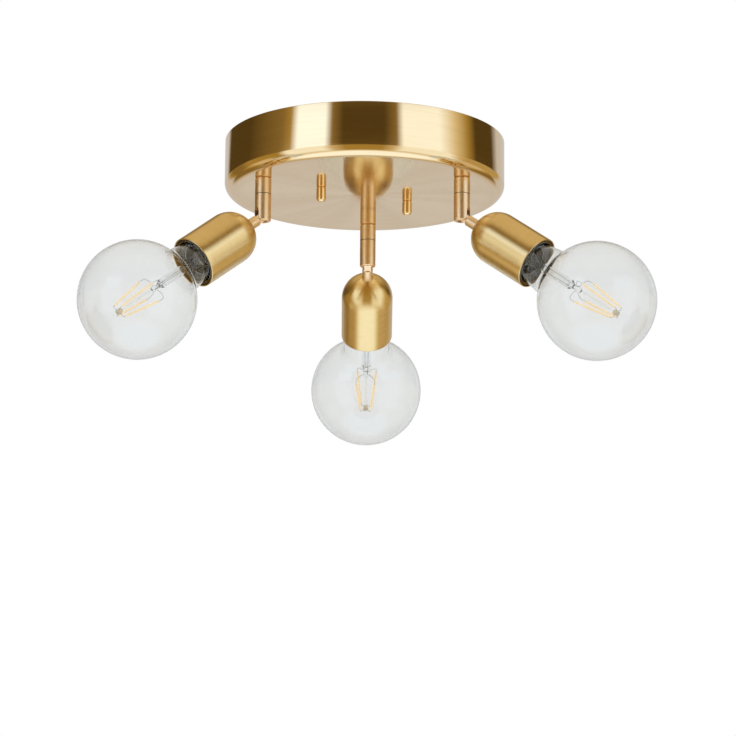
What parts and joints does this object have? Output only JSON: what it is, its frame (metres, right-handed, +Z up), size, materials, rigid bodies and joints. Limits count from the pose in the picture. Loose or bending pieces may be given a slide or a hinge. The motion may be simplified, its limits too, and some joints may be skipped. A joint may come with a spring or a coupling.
{
  "type": "swivel-head ceiling light",
  "caption": "Round satin-brass canopy that closes on a ceiling, with short stems whose swivel and tilt joints aim domed lamp holders with clear globe filament bulbs.",
  "frame": {"origin": "centre of the canopy in the plane of the ceiling", "axes": "+Z up out of the ceiling, +Y towards the rear arm, +X to the right in the picture"},
  "size_m": [0.4572, 0.4195, 0.2106],
  "materials": {
    "canopy_brass": "satin champagne brass, brushed in circles",
    "stem_brass": "satin, turned",
    "cup_brass": "satin, spun",
    "plated_steel": "zinc plated",
    "ivory_plastic": "moulded",
    "lead_sleeve": "silicone sleeve",
    "dark_washer": "moulded",
    "black_plastic": "moulded",
    "shell_metal": "drawn sheet",
    "contact_brass": "rolled strip",
    "cap_metal": "drawn sheet",
    "black_insulator": "fused insulator",
    "clear_glass": "clear, blown",
    "filament_coat": "phosphor coating"
  },
  "bodies": {
    "canopy": {"canopy_pan": "canopy_brass", "mounting_bracket": "plated_steel", "bracket_studs": "plated_steel", "bracket_nuts": "plated_steel", "cap_nuts": "stem_brass", "earth_screw": "plated_steel", "terminal_block": "ivory_plastic", "terminal_screws": "plated_steel", "terminal_fixing": "plated_steel", "stem_lock_nuts": "plated_steel", "stem_lock_washers": "plated_steel", "arm_leads": "lead_sleeve", "rear_stem_collar": "stem_brass", "front_left_stem_collar": "stem_brass", "front_right_stem_collar": "stem_brass"},
    "rear_swivel": {"rear_swivel_washer": "dark_washer", "rear_swivel_ring": "plated_steel", "rear_swivel_barrel": "stem_brass", "rear_tilt_pin": "stem_brass"},
    "rear_head": {"rear_tilt_finger": "stem_brass", "rear_socket_cup": "cup_brass", "rear_lamp_holder": "black_plastic", "rear_holder_shell": "shell_metal", "rear_holder_contact": "contact_brass", "rear_bulb_cap": "cap_metal", "rear_bulb_insulator": "black_insulator", "rear_bulb_glass": "clear_glass", "rear_filament_mount": "clear_glass", "rear_filaments": "filament_coat", "rear_filament_wires": "cap_metal"},
    "front_left_swivel": {"front_left_swivel_washer": "dark_washer", "front_left_swivel_ring": "plated_steel", "front_left_swivel_barrel": "stem_brass", "front_left_tilt_pin": "stem_brass"},
    "front_left_head": {"front_left_tilt_finger": "stem_brass", "front_left_socket_cup": "cup_brass", "front_left_lamp_holder": "black_plastic", "front_left_holder_shell": "shell_metal", "front_left_holder_contact": "contact_brass", "front_left_bulb_cap": "cap_metal", "front_left_bulb_insulator": "black_insulator", "front_left_bulb_glass": "clear_glass", "front_left_filament_mount": "clear_glass", "front_left_filaments": "filament_coat", "front_left_filament_wires": "cap_metal"},
    "front_right_swivel": {"front_right_swivel_washer": "dark_washer", "front_right_swivel_ring": "plated_steel", "front_right_swivel_barrel": "stem_brass", "front_right_tilt_pin": "stem_brass"},
    "front_right_head": {"front_right_tilt_finger": "stem_brass", "front_right_socket_cup": "cup_brass", "front_right_lamp_holder": "black_plastic", "front_right_holder_shell": "shell_metal", "front_right_holder_contact": "contact_brass", "front_right_bulb_cap": "cap_metal", "front_right_bulb_insulator": "black_insulator", "front_right_bulb_glass": "clear_glass", "front_right_filament_mount": "clear_glass", "front_right_filaments": "filament_coat", "front_right_filament_wires": "cap_metal"}
  },
  "joints": [
    {"name": "rear_turn", "type": "hinge", "parent": "canopy", "child": "rear_swivel", "pos_m": [0, 0.093, -0.044], "axis": [0, 0, 1], "range_deg": [-122.2, 117.8]},
    {"name": "rear_tilt", "type": "hinge", "parent": "rear_swivel", "child": "rear_head", "pos_m": [0, 0.093, -0.0762], "axis": [0.9993, 0.0384, 0], "range_deg": [-54.8, 30.2]},
    {"name": "front_left_turn", "type": "hinge", "parent": "canopy", "child": "front_left_swivel", "pos_m": [-0.08054, -0.0465, -0.044], "axis": [0, 0, 1], "range_deg": [-125.5, 114.5]},
    {"name": "front_left_tilt", "type": "hinge", "parent": "front_left_swivel", "child": "front_left_head", "pos_m": [-0.08054, -0.0465, -0.0762], "axis": [-0.5807, 0.8141, 0], "range_deg": [-53, 32]},
    {"name": "front_right_turn", "type": "hinge", "parent": "canopy", "child": "front_right_swivel", "pos_m": [0.08054, -0.0465, -0.044], "axis": [0, 0, 1], "range_deg": [-125.3, 114.7]},
    {"name": "front_right_tilt", "type": "hinge", "parent": "front_right_swivel", "child": "front_right_head", "pos_m": [0.08054, -0.0465, -0.0762], "axis": [-0.4179, -0.9085, 0], "range_deg": [-54.7, 30.3]}
  ]
}
